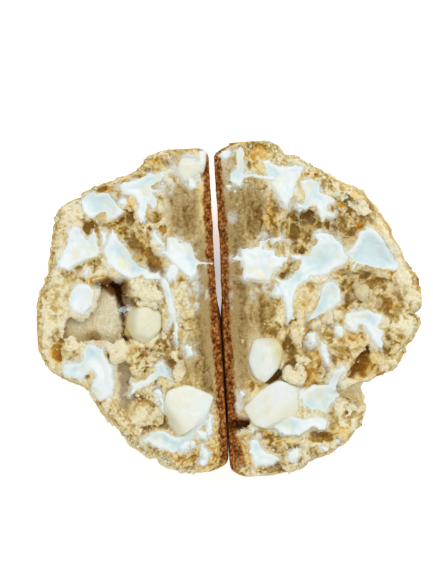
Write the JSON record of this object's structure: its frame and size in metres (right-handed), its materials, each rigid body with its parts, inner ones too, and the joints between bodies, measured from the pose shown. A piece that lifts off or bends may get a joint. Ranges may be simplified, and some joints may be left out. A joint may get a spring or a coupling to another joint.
{
  "type": "white chocolate macadamia cookie broken in two",
  "caption": "Thick domed cookie broken in two, halves base to base with the broken faces up, showing crumbly dough, white chocolate and macadamia pieces.",
  "frame": {"origin": "middle of the cookie's extent in X and Y, on the surface that it lies on", "axes": "+Z out of the broken faces, +X across the two flat bases from the left half to the right half, +Y along the bases towards the top of the pictured view"},
  "size_m": [0.1054, 0.0914, 0.0469],
  "materials": {
    "dough": "baked crumbly dough, matte",
    "white_chocolate": "soft satin white chocolate",
    "macadamia": "smooth waxy ivory nut"
  },
  "bodies": {
    "root": {"dough_left": "dough", "dough_right": "dough", "chocolate_left_top": "white_chocolate", "chocolate_left_fork": "white_chocolate", "chocolate_left_star": "white_chocolate", "chocolate_left_triangle": "white_chocolate", "chocolate_left_streak": "white_chocolate", "chocolate_left_comet": "white_chocolate", "chocolate_left_oval": "white_chocolate", "chocolate_left_hook": "white_chocolate", "chocolate_left_curl": "white_chocolate", "chocolate_left_foot": "white_chocolate", "chocolate_right_bar": "white_chocolate", "chocolate_right_tooth": "white_chocolate", "chocolate_right_branch": "white_chocolate", "chocolate_right_wedge": "white_chocolate", "chocolate_right_sweep": "white_chocolate", "chocolate_right_tail": "white_chocolate", "chocolate_right_star": "white_chocolate", "chocolate_right_saddle": "white_chocolate", "chocolate_right_arm": "white_chocolate", "chocolate_right_shelf": "white_chocolate", "chocolate_right_foot": "white_chocolate", "nut_left_top": "macadamia", "nut_left_middle": "macadamia", "nut_left_large": "macadamia", "nut_right_small": "macadamia", "nut_right_large": "macadamia"}
  },
  "joints": []
}
